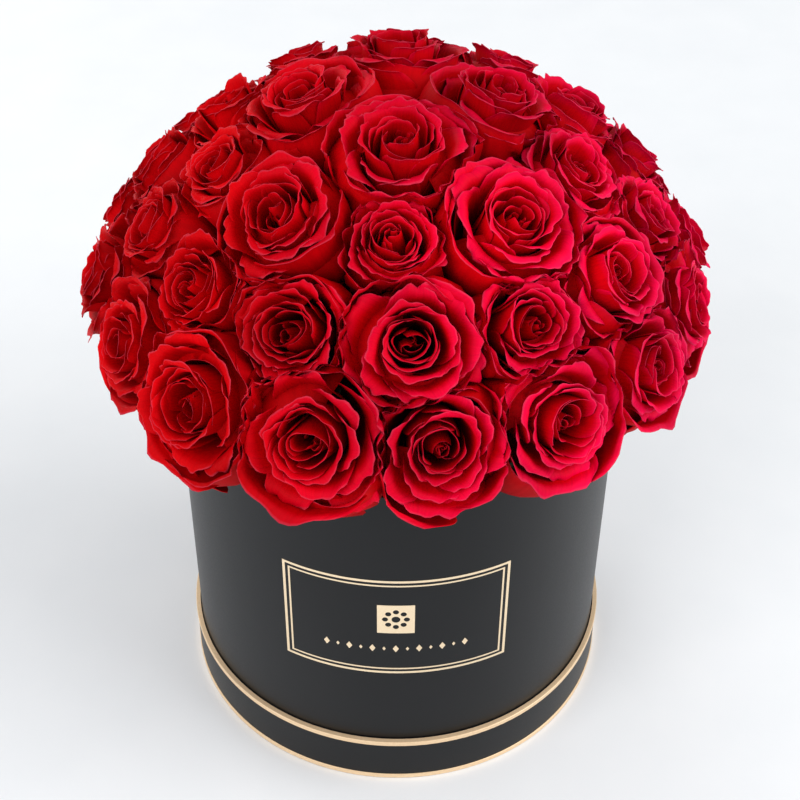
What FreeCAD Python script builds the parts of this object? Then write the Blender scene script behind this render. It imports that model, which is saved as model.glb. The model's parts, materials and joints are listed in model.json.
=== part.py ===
import FreeCAD, Part
import math
import os

# Round flower box: a paper-wrapped board box that stands in its own upturned lid, with a plastic
# liner pot, a base block and a dome of flower foam, and four rings of roses on their stems.
# Millimetres. Z is the axis of the box and points up; Z = 0 is the surface that the lid stands on.
# A bearing is measured from the front (-Y) towards +X.

# ---- Driving dimensions ----

# Box body
BOX_RADIUS = 110.0            # outside of the wrapping paper
BOX_HEIGHT = 198.0            # from the underside of the box to its rim
BOX_WALL_BOARD = 2.0
BOX_BASE_BOARD = 2.0
PAPER = 0.2                   # every wrapping, face and lining paper
BOX_TURN_IN = 15.0            # wrapping paper turned over the rim and glued down inside

# Lid, used upside down as a tray
LID_DEPTH = 30.0              # from the ground to the open edge, trim included
LID_WALL_BOARD = 1.6
LID_FACE_BOARD = 2.0
LID_CLEARANCE = 0.6           # all round, between the box and the lid's lining
TRIM_HEIGHT = 3.0             # both metallic bands
TRIM_THICKNESS = 0.4
TRIM_ROUND = 0.3              # rounded outer corners of the bands
EDGE_TRIM_LIFT = 0.3          # the lower band stays off the ground

# Label, foil-stamped on the front of the box
FOIL = 0.12
LABEL_WIDTH = 112.4           # along the curve
LABEL_HEIGHT = 65.6
LABEL_CENTRE_Z = 114.2
LABEL_OUTER_LINE = 1.4
LABEL_LINE_GAP = 1.6
LABEL_INNER_LINE = 0.95
EMBLEM_WIDTH = 18.0
EMBLEM_HEIGHT = 19.5
EMBLEM_CENTRE_Z = 120.6
EMBLEM_PETALS = 8             # openings of the daisy pattern
EMBLEM_PETAL_ORBIT = 5.2
EMBLEM_PETAL_RADIUS = 1.45
EMBLEM_EYE_RADIUS = 2.1
ORNAMENT_COUNT = 13           # row of small lozenges, the middle and the ends larger
ORNAMENT_ROW = 68.0
ORNAMENT_CENTRE_Z = 99.6
ORNAMENT_HEIGHT = 5.0
ORNAMENT_WIDTH = 3.0
SMALL_ORNAMENT_SHARE = 0.55   # every second lozenge
LABEL_RELIEF_DEPTH = 8.0      # length of the straight cutters that shape the foil

# Liner pot and foam
LINER_CLEARANCE = 2.0         # to the box lining, all round
LINER_WALL = 0.8
LINER_RIM_DROP = 5.0          # below the rim of the box
FOAM_CLEARANCE = 0.5          # to the pot, all round
FOAM_BASE_DROP = 18.0         # top of the foam base block below the rim of the box

# Roses: each axis starts at one focus on the axis of the box
FOCUS_DROP = 6.4              # focus below the rim of the box
DOME_RADIUS = 156.0           # from the focus to the middle of each rose's face
HEAD_LENGTH = 43.0
HEAD_SHOULDER = 7.0           # rounded front of a head, along its axis
HEAD_FLARE = 7.0              # short flare from the calyx to the full width
HEAD_GAP_DEG = 0.3            # kept free on each side of a head, seen from the focus
CALYX_LENGTH = 6.0
CALYX_RADIUS = 6.5
STEM_RADIUS = 2.8
STEM_SHOWING = 7.0            # bare stem between the foam and the calyx
STEM_DEPTH = 50.0             # pushed into the foam dome
STEM_CLEARANCE = 0.2          # the hole that a stem has pressed in the foam

# One row for each ring, from the top: tilt from the vertical, number of roses, first bearing
ROSE_RINGS = (
    (16.5, 4, 0.0),
    (33.5, 10, -1.0),
    (50.0, 14, 3.0),
    (66.5, 16, 7.5),
)

# ---- Derived levels and radii ----

LID_FACE_TOP = PAPER + LID_FACE_BOARD
BOX_BOTTOM = LID_FACE_TOP + PAPER
BOX_RIM = BOX_BOTTOM + BOX_HEIGHT
BOX_BOARD_RADIUS = BOX_RADIUS - PAPER
BOX_BOARD_INSIDE = BOX_BOARD_RADIUS - BOX_WALL_BOARD
BOX_INSIDE = BOX_BOARD_INSIDE - PAPER
BOX_DISC_BOTTOM = BOX_BOTTOM + PAPER
BOX_DISC_TOP = BOX_DISC_BOTTOM + BOX_BASE_BOARD
BOX_FLOOR = BOX_DISC_TOP + PAPER

LID_INSIDE = BOX_RADIUS + LID_CLEARANCE
LID_BOARD_INSIDE = LID_INSIDE + PAPER
LID_BOARD_RADIUS = LID_BOARD_INSIDE + LID_WALL_BOARD
LID_RADIUS = LID_BOARD_RADIUS + PAPER
LID_BOARD_TOP = LID_DEPTH - TRIM_THICKNESS

LINER_RADIUS = BOX_INSIDE - LINER_CLEARANCE
LINER_RIM = BOX_RIM - LINER_RIM_DROP
LINER_FLOOR = BOX_FLOOR + LINER_WALL
FOAM_RADIUS = LINER_RADIUS - LINER_WALL - FOAM_CLEARANCE
FOAM_BASE_TOP = BOX_RIM - FOAM_BASE_DROP

FOCUS = FreeCAD.Vector(0, 0, BOX_RIM - FOCUS_DROP)
HEAD_BASE = DOME_RADIUS - HEAD_LENGTH
CALYX_BASE = HEAD_BASE - CALYX_LENGTH
FOAM_DOME_RADIUS = CALYX_BASE - STEM_SHOWING
STEM_END = FOAM_DOME_RADIUS - STEM_DEPTH

ORIGIN = FreeCAD.Vector(0, 0, 0)
UP = FreeCAD.Vector(0, 0, 1)
FULL_TURN = 360.0


# ---- Helpers ----

def save(name, shape):
    """Write one sub-part to its own STEP file."""
    solids = len(shape.Solids)
    print(f"{name}: {solids} solid(s), {shape.Volume:.1f} mm3, valid {shape.isValid()}")
    shape.exportStep(f"parts/{name}.step")


def disc(radius, bottom, top):
    return Part.makeCylinder(radius, top - bottom, FreeCAD.Vector(0, 0, bottom))


def tube(outside, inside, bottom, top):
    return disc(outside, bottom, top).cut(disc(inside, bottom, top))


def revolve(outline, angle=FULL_TURN):
    """Turn a closed outline of (radius, height) points about Z."""
    points = [FreeCAD.Vector(radius, 0, height) for radius, height in outline]
    wire = Part.makePolygon(points + points[:1])
    return Part.Face(wire).revolve(ORIGIN, UP, angle)


def round_outer_corners(band, reach, radius):
    """Round the circular edges of a band that lie at its full radius."""
    circles = [edge for edge in band.Edges if isinstance(edge.Curve, Part.Circle)]
    return band.makeFillet(radius, [edge for edge in circles if abs(edge.Curve.Radius - reach) < radius])


def foil_patch(width, height, centre_z):
    """A rectangle of foil on the front of the box, its width measured along the curve."""
    angle = math.degrees(width / BOX_RADIUS)
    low = centre_z - height / 2
    high = centre_z + height / 2
    inside = BOX_RADIUS
    outside = BOX_RADIUS + FOIL
    patch = revolve(((inside, low), (outside, low), (outside, high), (inside, high)), angle)
    patch.rotate(ORIGIN, UP, -90.0 - angle / 2)
    return patch


def foil_frame(width, height, line):
    """A rectangular line of foil round the middle of the label."""
    opening = foil_patch(width - 2 * line, height - 2 * line, LABEL_CENTRE_Z)
    return foil_patch(width, height, LABEL_CENTRE_Z).cut(opening)


def front_cutter(outline_face, bearing):
    """Push a flat face, drawn at x = 0 in the XZ plane, out through the foil at a bearing."""
    start = BOX_RADIUS - LABEL_RELIEF_DEPTH / 2
    cutter = outline_face.extrude(FreeCAD.Vector(0, -LABEL_RELIEF_DEPTH, 0))
    cutter.translate(FreeCAD.Vector(0, -start, 0))
    cutter.rotate(ORIGIN, UP, bearing)
    return cutter


def round_face(x, z, radius):
    circle = Part.makeCircle(radius, FreeCAD.Vector(x, 0, z), FreeCAD.Vector(0, 1, 0))
    return Part.Face(Part.Wire(circle))


def lozenge_face(width, height, z):
    corners = ((0, z - height / 2), (width / 2, z), (0, z + height / 2), (-width / 2, z))
    points = [FreeCAD.Vector(x, 0, level) for x, level in corners]
    return Part.Face(Part.makePolygon(points + points[:1]))


def on_rose_axis(shape, tilt, bearing):
    """Stand a shape that was made about Z, with the focus at Z = 0, on one rose's axis."""
    placed = shape.copy()
    placed.rotate(ORIGIN, FreeCAD.Vector(1, 0, 0), tilt)
    placed.rotate(ORIGIN, UP, bearing)
    placed.translate(FOCUS)
    return placed


def rose_ring(shape, ring):
    """Copies of one shape round a ring, as separate solids."""
    tilt, count, first = ring
    pitch = FULL_TURN / count
    return [on_rose_axis(shape, tilt, first + pitch * index) for index in range(count)]


def head_half_angle(ring):
    """Half the width of a ring's heads, seen from the focus: the room to the nearest neighbours."""
    tilt, count, _ = ring
    beside = math.degrees(math.asin(math.sin(math.radians(tilt)) * math.sin(math.pi / count)))
    others = [abs(tilt - other[0]) for other in ROSE_RINGS if other is not ring]
    return min(beside, min(others) / 2) - HEAD_GAP_DEG


# ---- Lid, upside down: board shell, papers and two metallic bands ----

def make_lid():
    save("lid_face_paper", disc(LID_BOARD_RADIUS, 0, PAPER))
    save("lid_face_board", disc(LID_BOARD_INSIDE, PAPER, LID_FACE_TOP))
    save("lid_wall_board", tube(LID_BOARD_RADIUS, LID_BOARD_INSIDE, PAPER, LID_BOARD_TOP))
    save("lid_wall_wrap", tube(LID_RADIUS, LID_BOARD_RADIUS, PAPER, LID_BOARD_TOP))
    floor = disc(LID_BOARD_INSIDE, LID_FACE_TOP, BOX_BOTTOM)
    sides = tube(LID_BOARD_INSIDE, LID_INSIDE, BOX_BOTTOM, LID_BOARD_TOP)
    save("lid_lining", floor.fuse(sides).removeSplitter())
    outer = LID_RADIUS + TRIM_THICKNESS
    leg = LID_DEPTH - TRIM_HEIGHT
    rim = revolve((
        (LID_RADIUS, leg),
        (outer, leg),
        (outer, LID_DEPTH),
        (LID_INSIDE, LID_DEPTH),
        (LID_INSIDE, LID_BOARD_TOP),
        (LID_RADIUS, LID_BOARD_TOP),
    ))
    save("lid_rim_trim", round_outer_corners(rim, outer, TRIM_ROUND))
    edge = tube(outer, LID_RADIUS, EDGE_TRIM_LIFT, EDGE_TRIM_LIFT + TRIM_HEIGHT)
    save("lid_edge_trim", round_outer_corners(edge, outer, TRIM_ROUND))


# ---- Box: board tube and base disc, wrapping and lining papers ----

def make_box():
    board_top = BOX_RIM - PAPER
    turn_in_edge = BOX_RIM - BOX_TURN_IN
    save("box_wall_board", tube(BOX_BOARD_RADIUS, BOX_BOARD_INSIDE, BOX_DISC_BOTTOM, board_top))
    save("box_base_board", disc(BOX_BOARD_INSIDE, BOX_DISC_BOTTOM, BOX_DISC_TOP))
    save("box_base_paper", disc(BOX_BOARD_RADIUS, BOX_BOTTOM, BOX_DISC_BOTTOM))
    save("box_wall_wrap", revolve((
        (BOX_BOARD_RADIUS, BOX_DISC_BOTTOM),
        (BOX_RADIUS, BOX_DISC_BOTTOM),
        (BOX_RADIUS, BOX_RIM),
        (BOX_INSIDE, BOX_RIM),
        (BOX_INSIDE, turn_in_edge),
        (BOX_BOARD_INSIDE, turn_in_edge),
        (BOX_BOARD_INSIDE, board_top),
        (BOX_BOARD_RADIUS, board_top),
    )))
    save("box_wall_lining", tube(BOX_BOARD_INSIDE, BOX_INSIDE, BOX_FLOOR, turn_in_edge))
    save("box_floor_lining", disc(BOX_BOARD_INSIDE, BOX_DISC_TOP, BOX_FLOOR))


# ---- Foil stamping on the front of the box ----

def make_label():
    save("label_outer_frame", foil_frame(LABEL_WIDTH, LABEL_HEIGHT, LABEL_OUTER_LINE))
    step = 2 * (LABEL_OUTER_LINE + LABEL_LINE_GAP)
    save("label_inner_frame", foil_frame(LABEL_WIDTH - step, LABEL_HEIGHT - step, LABEL_INNER_LINE))

    emblem = foil_patch(EMBLEM_WIDTH, EMBLEM_HEIGHT, EMBLEM_CENTRE_Z)
    openings = [round_face(0, EMBLEM_CENTRE_Z, EMBLEM_EYE_RADIUS)]
    for index in range(EMBLEM_PETALS):
        turn = 2 * math.pi * index / EMBLEM_PETALS
        across = EMBLEM_PETAL_ORBIT * math.cos(turn)
        height = EMBLEM_CENTRE_Z + EMBLEM_PETAL_ORBIT * math.sin(turn)
        openings.append(round_face(across, height, EMBLEM_PETAL_RADIUS))
    cutters = [front_cutter(face, 0) for face in openings]
    save("label_emblem", emblem.cut(cutters))

    band = foil_patch(ORNAMENT_ROW + 2 * ORNAMENT_WIDTH, 2 * ORNAMENT_HEIGHT, ORNAMENT_CENTRE_Z)
    lozenges = []
    for index in range(ORNAMENT_COUNT):
        share = 1.0 if index % 2 == 0 else SMALL_ORNAMENT_SHARE
        across = ORNAMENT_ROW * (index / (ORNAMENT_COUNT - 1) - 0.5)
        face = lozenge_face(ORNAMENT_WIDTH * share, ORNAMENT_HEIGHT * share, ORNAMENT_CENTRE_Z)
        cutter = front_cutter(face, math.degrees(across / BOX_RADIUS))
        lozenges.append(band.common(cutter))
    save("label_ornaments", Part.Compound([piece.Solids[0] for piece in lozenges]))


# ---- Insert: liner pot, foam and roses ----

def make_liner_pot():
    shell = disc(LINER_RADIUS, BOX_FLOOR, LINER_RIM)
    save("liner_pot", shell.cut(disc(LINER_RADIUS - LINER_WALL, LINER_FLOOR, LINER_RIM)))


def make_foam():
    """A round base block in the pot, and on it a dome about the focus with a hole for each stem."""
    save("foam_base", disc(FOAM_RADIUS, LINER_FLOOR, FOAM_BASE_TOP))
    ball = Part.makeSphere(FOAM_DOME_RADIUS, FOCUS)
    above_base = disc(FOAM_RADIUS, FOAM_BASE_TOP, FOCUS.z + 2 * FOAM_DOME_RADIUS)
    length = CALYX_BASE - STEM_END
    hole = Part.makeCylinder(STEM_RADIUS + STEM_CLEARANCE, length, FreeCAD.Vector(0, 0, STEM_END))
    holes = []
    for ring in ROSE_RINGS:
        holes += rose_ring(hole, ring)
    save("foam_dome", ball.common(above_base).cut(holes))


def rose_head(half_angle):
    """A closed flower: a short flare from the calyx, straight sides and a rounded front."""
    spread = math.tan(math.radians(half_angle))
    flare_top = HEAD_BASE + HEAD_FLARE
    shoulder = DOME_RADIUS - HEAD_SHOULDER
    width = shoulder * spread
    base = FreeCAD.Vector(0, 0, HEAD_BASE)
    calyx_edge = FreeCAD.Vector(CALYX_RADIUS, 0, HEAD_BASE)
    flare_edge = FreeCAD.Vector(flare_top * spread, 0, flare_top)
    shoulder_edge = FreeCAD.Vector(width, 0, shoulder)
    # the front is part of a ball: one point of its arc lies half-way across
    cap_radius = (width ** 2 + HEAD_SHOULDER ** 2) / (2 * HEAD_SHOULDER)
    middle = width / 2
    middle_level = DOME_RADIUS - cap_radius + math.sqrt(cap_radius ** 2 - middle ** 2)
    crown = FreeCAD.Vector(0, 0, DOME_RADIUS)
    front = Part.Arc(shoulder_edge, FreeCAD.Vector(middle, 0, middle_level), crown)
    edges = [
        Part.makeLine(base, calyx_edge),
        Part.makeLine(calyx_edge, flare_edge),
        Part.makeLine(flare_edge, shoulder_edge),
        front.toShape(),
        Part.makeLine(crown, base),
    ]
    return Part.Face(Part.Wire(edges)).revolve(ORIGIN, UP, FULL_TURN)


def make_roses():
    calyx = Part.makeCone(STEM_RADIUS, CALYX_RADIUS, CALYX_LENGTH, FreeCAD.Vector(0, 0, CALYX_BASE))
    stem_length = CALYX_BASE - STEM_END
    stem = Part.makeCylinder(STEM_RADIUS, stem_length, FreeCAD.Vector(0, 0, STEM_END))
    for number, ring in enumerate(ROSE_RINGS, start=1):
        head = rose_head(head_half_angle(ring))
        save(f"rose_heads_ring_{number}", Part.Compound(rose_ring(head, ring)))
        save(f"rose_calyxes_ring_{number}", Part.Compound(rose_ring(calyx, ring)))
        save(f"rose_stems_ring_{number}", Part.Compound(rose_ring(stem, ring)))
        print(f"ring {number}: head half angle {head_half_angle(ring):.2f} degrees")


os.makedirs("parts", exist_ok=True)
make_lid()
make_box()
make_label()
make_liner_pot()
make_foam()
make_roses()
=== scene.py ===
# %% [markdown]
# # A flower box of red roses
# A round board box wrapped in charcoal paper stands in its own upturned lid and holds forty-four
# roses in flower foam. The design, with every size, comes in as a fixed frame of plain parts. What
# this script adds is looks: a finish for each paper, board, band and foil, and real petals in place
# of the plain solids that stand for the flowers.

# %% Load the frame and keep its box
import json
import math

import bmesh
import bpy
import numpy as np
from mathutils import Matrix, Vector

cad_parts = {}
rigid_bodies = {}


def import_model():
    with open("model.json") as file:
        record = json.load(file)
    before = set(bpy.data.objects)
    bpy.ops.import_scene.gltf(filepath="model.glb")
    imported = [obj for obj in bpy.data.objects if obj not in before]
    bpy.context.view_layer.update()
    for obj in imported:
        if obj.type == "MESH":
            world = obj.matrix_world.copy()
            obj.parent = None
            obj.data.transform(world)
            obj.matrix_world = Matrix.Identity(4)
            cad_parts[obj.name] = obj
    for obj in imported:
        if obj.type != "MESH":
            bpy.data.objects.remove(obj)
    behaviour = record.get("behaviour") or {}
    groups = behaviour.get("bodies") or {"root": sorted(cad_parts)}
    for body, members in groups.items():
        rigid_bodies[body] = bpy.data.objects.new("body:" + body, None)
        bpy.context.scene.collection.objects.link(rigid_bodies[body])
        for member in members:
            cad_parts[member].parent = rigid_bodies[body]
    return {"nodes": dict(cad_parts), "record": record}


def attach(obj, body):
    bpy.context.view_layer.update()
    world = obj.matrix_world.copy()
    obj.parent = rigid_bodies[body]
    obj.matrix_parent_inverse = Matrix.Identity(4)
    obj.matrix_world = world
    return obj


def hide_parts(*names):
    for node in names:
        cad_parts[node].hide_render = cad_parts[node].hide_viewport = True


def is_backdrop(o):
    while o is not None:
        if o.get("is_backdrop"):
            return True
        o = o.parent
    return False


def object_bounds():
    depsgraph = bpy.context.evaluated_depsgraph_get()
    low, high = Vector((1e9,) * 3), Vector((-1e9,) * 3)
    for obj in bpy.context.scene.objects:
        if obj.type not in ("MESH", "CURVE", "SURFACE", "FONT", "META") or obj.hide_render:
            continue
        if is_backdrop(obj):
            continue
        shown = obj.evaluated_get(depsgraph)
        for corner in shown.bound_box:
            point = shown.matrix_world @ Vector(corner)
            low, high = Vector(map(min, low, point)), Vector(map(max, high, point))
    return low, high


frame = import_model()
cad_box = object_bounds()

MM = 0.001

# %% [markdown]
# ## Camera
# A product picture of a tall bouquet is taken from above the rim with a short telephoto lens, so that
# the dome of flowers and the label both show. The camera is placed by what it looks at: a point on
# the axis of the box, a distance, and an angle above the table. That is easier to read, and to
# change, than a bare position and three turns.

# %% Camera
LOOK_AT = Vector((0.0011, 0.0, 0.1638))
CAMERA_DISTANCE = 0.7852
CAMERA_ELEVATION = math.radians(40.32)
CAMERA_ROLL = math.radians(0.45)
LENS = 69.2                   # mm

camera_data = bpy.data.cameras.new("camera")
camera_data.lens = LENS
camera_data.clip_start = 0.01
camera = bpy.data.objects.new("camera", camera_data)
bpy.context.scene.collection.objects.link(camera)
towards_camera = Vector((0.0, -math.cos(CAMERA_ELEVATION), math.sin(CAMERA_ELEVATION)))
camera.location = LOOK_AT + towards_camera * CAMERA_DISTANCE
aim = (-towards_camera).to_track_quat("-Z", "Y").to_matrix()
camera.rotation_euler = (aim @ Matrix.Rotation(CAMERA_ROLL, 3, "Z")).to_euler()
bpy.context.scene.camera = camera
bpy.context.scene.view_settings.view_transform = "Standard"
print("camera at", [round(value, 3) for value in camera.location])

# %% [markdown]
# ## Two small helpers
# Colours are written as the hex values that a colour picker shows. Those are sRGB, and a shader wants
# linear light, so one function turns them. Another adds a node with its settings and its inputs. Every
# material and every Geometry Nodes tree below is built with it.

# %% Helpers for colours and nodes
def linear(hex_value):
    """An sRGB hex colour as linear red, green, blue and alpha."""
    shades = [int(hex_value[start:start + 2], 16) / 255 for start in (1, 3, 5)]
    return tuple(c / 12.92 if c < 0.04045 else ((c + 0.055) / 1.055) ** 2.4 for c in shades) + (1.0,)


def add(tree, kind, inputs=(), **settings):
    """Add a node; inputs pairs each socket, by name or number, with a value or a socket to link."""
    node = tree.nodes.new(kind)
    for name, value in settings.items():
        setattr(node, name, value)
    for key, value in dict(inputs).items():
        if isinstance(value, bpy.types.NodeSocket):
            tree.links.new(value, node.inputs[key])
        else:
            node.inputs[key].default_value = value
    return node


def new_material(name, colour, roughness, metallic=0.0):
    """A material with a Principled shader; returns it with its node tree and its shader."""
    material = bpy.data.materials.new(name)
    material.use_nodes = True
    shader = material.node_tree.nodes["Principled BSDF"]
    shader.inputs["Base Color"].default_value = linear(colour)
    shader.inputs["Roughness"].default_value = roughness
    shader.inputs["Metallic"].default_value = metallic
    material.diffuse_color = linear(colour)
    return material, material.node_tree, shader


def per_metre(size_mm):
    """Scale of a texture whose pattern repeats every size_mm."""
    return 1.0 / (size_mm * MM)


print("half-bright grey #808080 as linear light:", round(linear("#808080")[0], 3))

# %% [markdown]
# ## Charcoal wrapping paper
# Rigid boxes are covered with a dyed, uncoated or lightly varnished paper of about 120 g/m2, glued
# down with the grain running round the tube. Seen close it is a felt of fibres: fine bumps, and tiny
# differences in tone and in gloss. A Noise texture at fibre size gives the bumps and a second, broad
# one the clouding that large plain sheets show in raking light.

# %% Papers and board
CLOUD_MM = 45.0               # the broad clouding of a sheet is a few centimetres across


def paper_material(name, colour, light_colour, roughness, fibre_mm, bump_mm):
    """Dyed paper: fine fibre bumps, and broad faint clouding of tone and gloss."""
    material, tree, shader = new_material(name, colour, roughness)
    place = add(tree, "ShaderNodeTexCoord").outputs["Object"]
    fibres = add(tree, "ShaderNodeTexNoise", {"Vector": place, "Scale": per_metre(fibre_mm), "Detail": 4.0})
    clouds = add(tree, "ShaderNodeTexNoise", {"Vector": place, "Scale": per_metre(CLOUD_MM), "Detail": 2.0})
    both = add(tree, "ShaderNodeMath", {0: fibres.outputs["Fac"], 1: clouds.outputs["Fac"]},
               operation="MULTIPLY")
    tone = add(tree, "ShaderNodeMix", {"Factor": both.outputs[0], "A": linear(colour),
                                       "B": linear(light_colour)}, data_type="RGBA")
    tree.links.new(tone.outputs["Result"], shader.inputs["Base Color"])
    gloss = add(tree, "ShaderNodeMapRange", {"Value": fibres.outputs["Fac"], "To Min": roughness - 0.06,
                                             "To Max": roughness + 0.08})
    tree.links.new(gloss.outputs["Result"], shader.inputs["Roughness"])
    relief = add(tree, "ShaderNodeBump", {"Height": fibres.outputs["Fac"], "Distance": bump_mm * MM,
                                          "Strength": 0.5})
    tree.links.new(relief.outputs["Normal"], shader.inputs["Normal"])
    shader.inputs["IOR"].default_value = 1.38
    shader.inputs["Specular IOR Level"].default_value = 0.36
    return material


# Fibres are under 0.1 mm wide, too fine to show here, so they are drawn 0.9 mm long.
charcoal_paper = paper_material("dyed wrapping paper, varnished", "#08090B", "#121417",
                                roughness=0.38, fibre_mm=0.9, bump_mm=0.03)
lining_paper = paper_material("dyed lining paper, uncoated", "#121314", "#1F2021",
                              roughness=0.75, fibre_mm=0.9, bump_mm=0.03)
grey_board = paper_material("grey board, pressed", "#8B8378", "#A89F92",
                            roughness=0.85, fibre_mm=1.6, bump_mm=0.08)
print("papers:", charcoal_paper.name, "/", lining_paper.name, "/", grey_board.name)

# %% [markdown]
# ## Pale gold bands and foil
# The bands on the lid are paper with a pearl coating, mica flakes in a clear binder, rolled round the
# edge. Less than half of the light meets a flake and is mirrored, the rest is scattered by the paper, so
# the band is part metal and stays pale on every side. The label is hot-stamped: a heated die presses a
# metal layer a few micrometres thick into the paper. That is a full metal with a champagne colour,
# blurred by the paper's grain under it.

# %% Pearl band and stamped foil
def foil_material(name, colour, dark_colour, roughness, metallic, grain_mm, bump_mm):
    """A thin metallic layer on paper, with the paper's grain in its tone, gloss and relief."""
    material, tree, shader = new_material(name, colour, roughness, metallic)
    place = add(tree, "ShaderNodeTexCoord").outputs["Object"]
    grain = add(tree, "ShaderNodeTexNoise", {"Vector": place, "Scale": per_metre(grain_mm), "Detail": 3.0})
    tone = add(tree, "ShaderNodeMix", {"Factor": grain.outputs["Fac"], "A": linear(dark_colour),
                                       "B": linear(colour)}, data_type="RGBA")
    tree.links.new(tone.outputs["Result"], shader.inputs["Base Color"])
    gloss = add(tree, "ShaderNodeMapRange", {"Value": grain.outputs["Fac"], "To Min": roughness - 0.08,
                                             "To Max": roughness + 0.12})
    tree.links.new(gloss.outputs["Result"], shader.inputs["Roughness"])
    relief = add(tree, "ShaderNodeBump", {"Height": grain.outputs["Fac"], "Distance": bump_mm * MM,
                                          "Strength": 0.4})
    tree.links.new(relief.outputs["Normal"], shader.inputs["Normal"])
    return material


gold_band = foil_material("pearl-coated paper band, champagne gold", "#F4D9B4", "#E2BE92",
                          roughness=0.42, metallic=0.40, grain_mm=1.2, bump_mm=0.03)
gold_foil = foil_material("hot-stamped foil, champagne gold", "#FFEFD2", "#F8D9AE",
                          roughness=0.34, metallic=1.0, grain_mm=0.7, bump_mm=0.02)
print("metal finishes:", gold_band.name, "/", gold_foil.name)

# %% [markdown]
# ## Plastic pot, flower foam and stems
# The pot is thin black polypropylene, moulded, with a soft gloss. Flower foam is a phenolic foam of
# tiny open cells that crumbles when it is pressed: a dull green with pits. A rose stem is smooth and
# waxy, green with brown-red streaks along it.

# %% Pot, foam and greens
def moulded_plastic(name, colour):
    """Injection-moulded plastic: even colour, with the very shallow waviness of its mould."""
    material, tree, shader = new_material(name, colour, 0.38)
    place = add(tree, "ShaderNodeTexCoord").outputs["Object"]
    skin = add(tree, "ShaderNodeTexNoise", {"Vector": place, "Scale": per_metre(1.5), "Detail": 2.0})
    relief = add(tree, "ShaderNodeBump", {"Height": skin.outputs["Fac"], "Distance": 0.02 * MM,
                                          "Strength": 0.3})
    tree.links.new(relief.outputs["Normal"], shader.inputs["Normal"])
    return material


def foam_material(name, colour, pit_shade_colour):
    """Open-cell foam: a Voronoi texture gives the pits, deeper at their centres and painted darker there as
    shade.
    """
    material, tree, shader = new_material(name, colour, 0.95)
    place = add(tree, "ShaderNodeTexCoord").outputs["Object"]
    cells = add(tree, "ShaderNodeTexVoronoi", {"Vector": place, "Scale": per_metre(1.4)})
    # painted shade: the pit colour darkens each pit towards its centre
    tone = add(tree, "ShaderNodeMix", {"Factor": cells.outputs["Distance"], "A": linear(pit_shade_colour),
                                       "B": linear(colour)}, data_type="RGBA")
    tree.links.new(tone.outputs["Result"], shader.inputs["Base Color"])
    relief = add(tree, "ShaderNodeBump", {"Height": cells.outputs["Distance"], "Distance": 0.6 * MM})
    tree.links.new(relief.outputs["Normal"], shader.inputs["Normal"])
    return material


def green_material(name, colour, streak_colour):
    """Waxy plant skin with streaks: noise squeezed along the height makes lines along the stem."""
    material, tree, shader = new_material(name, colour, 0.45)
    place = add(tree, "ShaderNodeTexCoord").outputs["Object"]
    stretched = add(tree, "ShaderNodeMapping", {"Vector": place, "Scale": (1.0, 1.0, 0.25)})
    streaks = add(tree, "ShaderNodeTexNoise", {"Vector": stretched.outputs["Vector"], "Scale": per_metre(2.5),
                                               "Detail": 3.0})
    tone = add(tree, "ShaderNodeMix", {"Factor": streaks.outputs["Fac"], "A": linear(colour),
                                       "B": linear(streak_colour)}, data_type="RGBA")
    tree.links.new(tone.outputs["Result"], shader.inputs["Base Color"])
    relief = add(tree, "ShaderNodeBump", {"Height": streaks.outputs["Fac"], "Distance": 0.1 * MM})
    tree.links.new(relief.outputs["Normal"], shader.inputs["Normal"])
    return material


pot_plastic = moulded_plastic("polypropylene, moulded, black", "#141516")
flower_foam = foam_material("phenolic flower foam, cut", "#1E3A24", "#0B1A0F")
stem_green = green_material("rose stem, waxy", "#2F4A1E", "#4A2F1C")
sepal_green = green_material("rose sepal, downy", "#3B5A26", "#24381A")
print("plant and pot finishes made")

# %% [markdown]
# ## Rose petals
# A petal looks like velvet because its skin is covered with tiny cone-shaped cells: they trap light
# seen face on and catch it at a glancing angle. The shader's sheen does that. The colour also carries
# painted shade: it runs from a shaded deep crimson at the base to a clearer red at the rim, the heart,
# where petals shade each other, is painted the deepest red, and the flowers at the back are painted
# darker. Faint veins run along each petal. Painted highlights are added too: a paler line along the
# thin rim, and a pinker red on the rims of the outer petals towards the right of the bouquet. Each petal
# carries three numbers for this, stored on its points: `along` from base to rim, `across` from side to
# side, and `outer`, which is 0 for a petal at the heart and 1 for one outside.

# %% Petal velvet
ROSE_MM = 48.0                # the width of a small rose


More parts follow.
